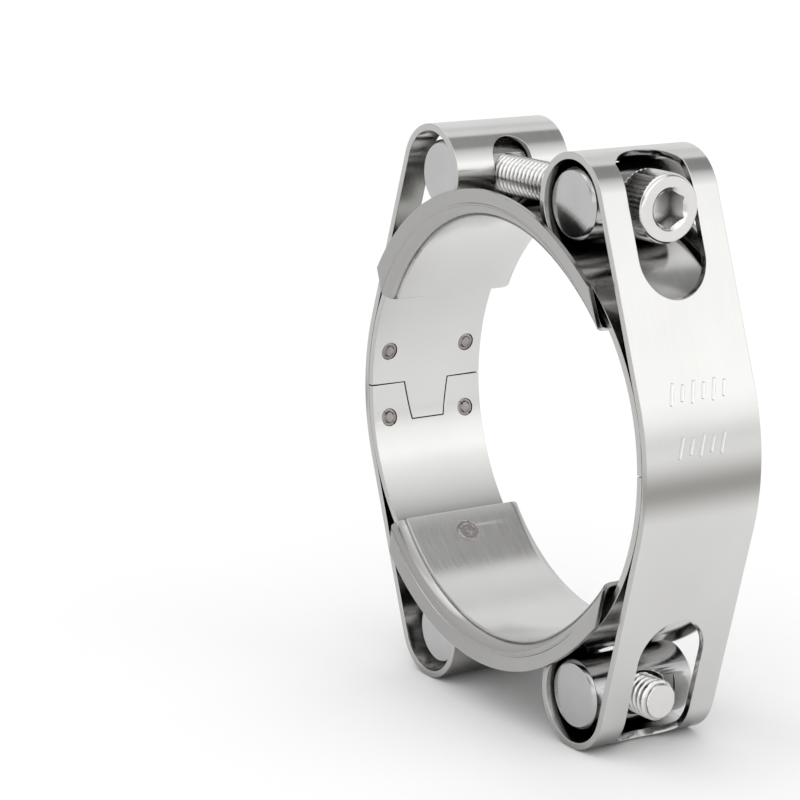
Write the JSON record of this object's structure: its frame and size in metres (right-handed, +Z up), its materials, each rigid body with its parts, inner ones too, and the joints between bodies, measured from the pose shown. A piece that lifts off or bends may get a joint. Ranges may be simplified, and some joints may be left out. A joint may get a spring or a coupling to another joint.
{
  "type": "pipe repair clamp",
  "caption": "Stainless pipe clamp of two folded strap halves with flanged inner bridges, drawn together round a pipe by opposed socket screws through cross pins.",
  "frame": {"origin": "centre of the pipe bore, half way along the clamp's width", "axes": "+Y along the pipe, away from the front face; +X along the screws, towards the half that moves; +Z up, from the lower screw to the upper one"},
  "size_m": [0.0732, 0.0246, 0.0858],
  "materials": {
    "strip_steel": "bright rolled stainless sheet, fine grain along the strip",
    "bridge_steel": "satin rolled stainless sheet",
    "pin_steel": "turned stainless bar, faced ends",
    "screw_steel": "plain stainless, bright",
    "weld_steel": "heat-tinted spot weld"
  },
  "bodies": {
    "left_half": {"left_strip": "strip_steel", "left_spot_welds": "weld_steel", "bottom_bridge": "bridge_steel", "bottom_bridge_weld": "weld_steel", "trunnion_top_left": "pin_steel", "trunnion_bottom_left": "pin_steel"},
    "right_half": {"right_strip": "strip_steel", "right_spot_welds": "weld_steel", "top_bridge": "bridge_steel", "top_bridge_weld": "weld_steel", "trunnion_top_right": "pin_steel", "trunnion_bottom_right": "pin_steel"},
    "top_screw": {"top_screw": "screw_steel"},
    "bottom_screw": {"bottom_screw": "screw_steel"}
  },
  "joints": [
    {"name": "clamp_gap", "type": "slide", "parent": "left_half", "child": "right_half", "axis": [1, 0, 0], "range_m": [-0.0003, 0.008]},
    {"name": "top_screw_turn", "type": "hinge", "parent": "right_half", "child": "top_screw", "pos_m": [0, 0, 0.0354], "axis": [1, 0, 0], "range_deg": [-108.5, 2881]},
    {"name": "bottom_screw_turn", "type": "hinge", "parent": "left_half", "child": "bottom_screw", "pos_m": [0, 0, -0.0354], "axis": [1, 0, 0], "range_deg": [-2881, 108.5]}
  ],
  "couplings": [
    {"joint": "top_screw_turn", "follows": "clamp_gap", "rad_per_m": 6283.2},
    {"joint": "bottom_screw_turn", "follows": "clamp_gap", "rad_per_m": -6283.2}
  ]
}
